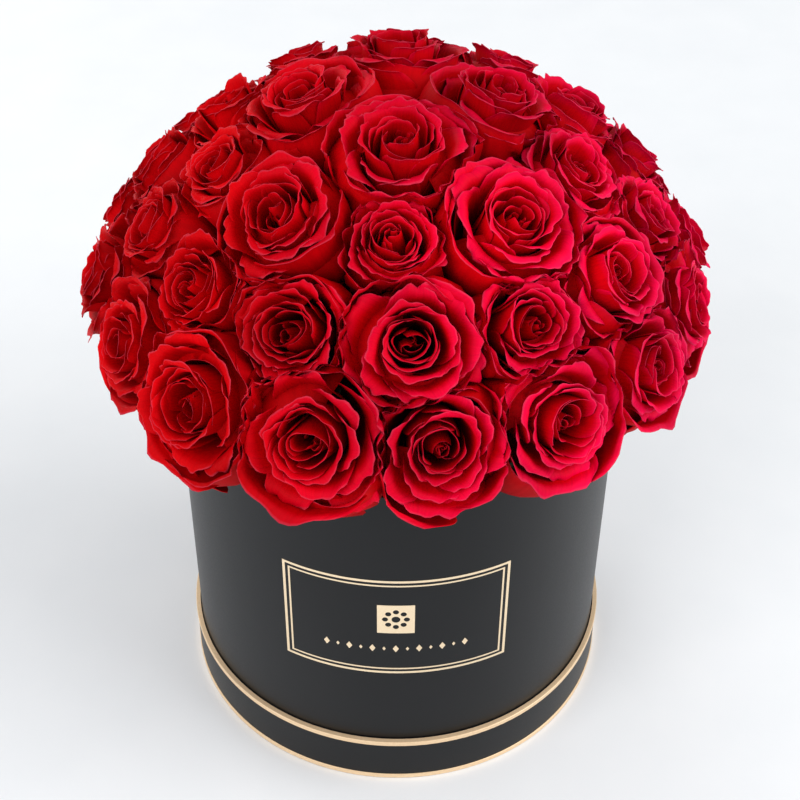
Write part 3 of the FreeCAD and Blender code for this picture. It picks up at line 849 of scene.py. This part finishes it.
# %% Geometry Nodes: a ring of calyxes
def calyx_tree():
    """The tree of one ring of calyxes: a hip on each rose's point, and sepals round it."""
    tree, size = new_tree("calyx ring", {
        "Roses": "Geometry", "Hip": "Object", "Sepal": "Object", "Sepal Count": "Int", "Unevenness": "Float",
        "Seed": "Int", "Finish": "Material"})
    facing = add(tree, "GeometryNodeInputNamedAttribute", {"Name": "facing"}, data_type="FLOAT_VECTOR")
    stand = add(tree, "FunctionNodeAlignRotationToVector", {"Vector": facing.outputs[0]}, axis="Z").outputs[0]
    hip_shape = add(tree, "GeometryNodeObjectInfo", {"Object": size["Hip"]}).outputs["Geometry"]
    hips = add(tree, "GeometryNodeInstanceOnPoints", {"Points": size["Roses"], "Instance": hip_shape,
                                                      "Rotation": stand})
    copies = add(tree, "GeometryNodeDuplicateElements", {"Geometry": size["Roses"],
                                                         "Amount": size["Sepal Count"]}, domain="POINT")
    step = add(tree, "ShaderNodeMath", {0: math.tau, 1: size["Sepal Count"]}, operation="DIVIDE")
    angle = add(tree, "ShaderNodeMath", {0: copies.outputs["Duplicate Index"], 1: step.outputs[0]},
                operation="MULTIPLY")
    spin = add(tree, "ShaderNodeCombineXYZ", {"Z": angle.outputs[0]})
    chance = add(tree, "FunctionNodeRandomValue", {"Min": (-1, -1, -1), "Max": (1, 1, 1),
                                                   "Seed": size["Seed"]}, data_type="FLOAT_VECTOR")
    wobble = add(tree, "ShaderNodeVectorMath", {0: chance.outputs["Value"], "Scale": size["Unevenness"]},
                 operation="SCALE")
    turn = add(tree, "ShaderNodeVectorMath", {0: spin.outputs[0], 1: wobble.outputs[0]}, operation="ADD")
    lay = add(tree, "FunctionNodeRotateRotation", {0: stand, 1: turn.outputs[0]}, rotation_space="LOCAL")
    sepal_shape = add(tree, "GeometryNodeObjectInfo", {"Object": size["Sepal"]}).outputs["Geometry"]
    sepals = add(tree, "GeometryNodeInstanceOnPoints", {"Points": copies.outputs["Geometry"],
                                                        "Instance": sepal_shape, "Rotation": lay.outputs[0]})
    both = add(tree, "GeometryNodeJoinGeometry", {0: hips.outputs[0]})
    tree.links.new(sepals.outputs[0], both.inputs[0])
    real = add(tree, "GeometryNodeRealizeInstances", {0: both.outputs[0]})
    smooth = add(tree, "GeometryNodeSetShadeSmooth", {0: real.outputs[0]})
    finished = add(tree, "GeometryNodeSetMaterial", {"Geometry": smooth.outputs[0],
                                                     "Material": size["Finish"]})
    add(tree, "NodeGroupOutput", {0: finished.outputs[0]})
    return tree


def make_calyxes(ring):
    """Grow the calyxes of a ring from a point for each rose, which knows where the rose faces."""
    points = bpy.data.meshes.new("rose points")
    points.from_pydata([base for base, facing in ROSES[ring]], [], [])
    directions = points.attributes.new("facing", "FLOAT_VECTOR", "POINT").data
    directions.foreach_set("vector", [value for base, facing in ROSES[ring] for value in facing])
    mesh = grow(CALYXES, {"Hip": hip, "Sepal": sepal, "Sepal Count": SEPALS, "Unevenness": UNEVENNESS,
                          "Seed": ring, "Finish": sepal_green}, start=points)
    return insert_piece(f"calyxes_ring_{ring}", mesh, f"rose_calyxes_ring_{ring}")


CALYXES = calyx_tree()
calyxes = [make_calyxes(ring) for ring in RINGS]
bpy.data.objects.remove(hip)
bpy.data.objects.remove(sepal)
print("calyx pieces:", [(piece.name, len(piece.data.polygons)) for piece in calyxes])

# %% [markdown]
# ## Table and light
# A plain pale table, one large soft window of light from the front right, a weaker one from the front
# left, a low faint one behind and a pale sky all round. The lights are larger than the object, which
# keeps every shadow soft.

# %% Table and light
TABLE_REACH = 30.0            # metres, far enough that its edge is lost
LIT_POINT = Vector((0.0, 0.0, 0.2))
# place in metres, side of the square lamp in metres, power in watts
LIGHTS = {
    "window_right": ((2.1, -0.6, 1.5), 2.2, 52.0),
    "fill_front": ((-1.6, -1.8, 1.5), 2.0, 40.0),
    "back_left": ((-1.5, 1.9, 0.9), 1.8, 20.0),
}


def soft_light(name, place, side, power):
    """A square lamp that faces the object."""
    lamp = bpy.data.lights.new(name, "AREA")
    lamp.shape = "SQUARE"
    lamp.size = side
    lamp.energy = power
    light = bpy.data.objects.new(name, lamp)
    bpy.context.scene.collection.objects.link(light)
    light.location = place
    light.rotation_euler = (LIT_POINT - Vector(place)).to_track_quat("-Z", "Y").to_euler()


def make_table():
    """A flat pale table top, which is the stage and not part of the object."""
    material, tree, shader = new_material("matt white table top, sprayed", "#E8EAEC", 0.6)
    place = add(tree, "ShaderNodeTexCoord").outputs["Object"]
    marks = add(tree, "ShaderNodeTexNoise", {"Vector": place, "Scale": per_metre(60.0), "Detail": 3.0})
    tone = add(tree, "ShaderNodeMix", {"Factor": marks.outputs["Fac"], "A": linear("#E4E6E8"),
                                       "B": linear("#ECEDEE")}, data_type="RGBA")
    tree.links.new(tone.outputs["Result"], shader.inputs["Base Color"])
    mesh = bpy.data.meshes.new("table")
    corners = [(x * TABLE_REACH, y * TABLE_REACH, 0) for x, y in ((-1, -1), (1, -1), (1, 1), (-1, 1))]
    mesh.from_pydata(corners, [], [(0, 1, 2, 3)])
    mesh.materials.append(material)
    table = bpy.data.objects.new("table", mesh)
    bpy.context.scene.collection.objects.link(table)
    table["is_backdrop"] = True


make_table()
for light_name, (light_place, lamp_side, lamp_power) in LIGHTS.items():
    soft_light(light_name, light_place, lamp_side, lamp_power)
world = bpy.data.worlds.new("pale sky")
world.use_nodes = True
sky = world.node_tree.nodes["Background"]
sky.inputs["Color"].default_value = linear("#F2F5F8")
sky.inputs["Strength"].default_value = 0.70
bpy.context.scene.world = world

# %% [markdown]
# ## Print the two boxes
# The looks may stand a little proud of the plain design, as petals do, but not change its size.

# %% Write both boxes, and finish
shown_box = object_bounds()
for label, corners in (("design", cad_box), ("shown", shown_box)):
    print(label, "box:", [[round(value, 4) for value in corner] for corner in corners])
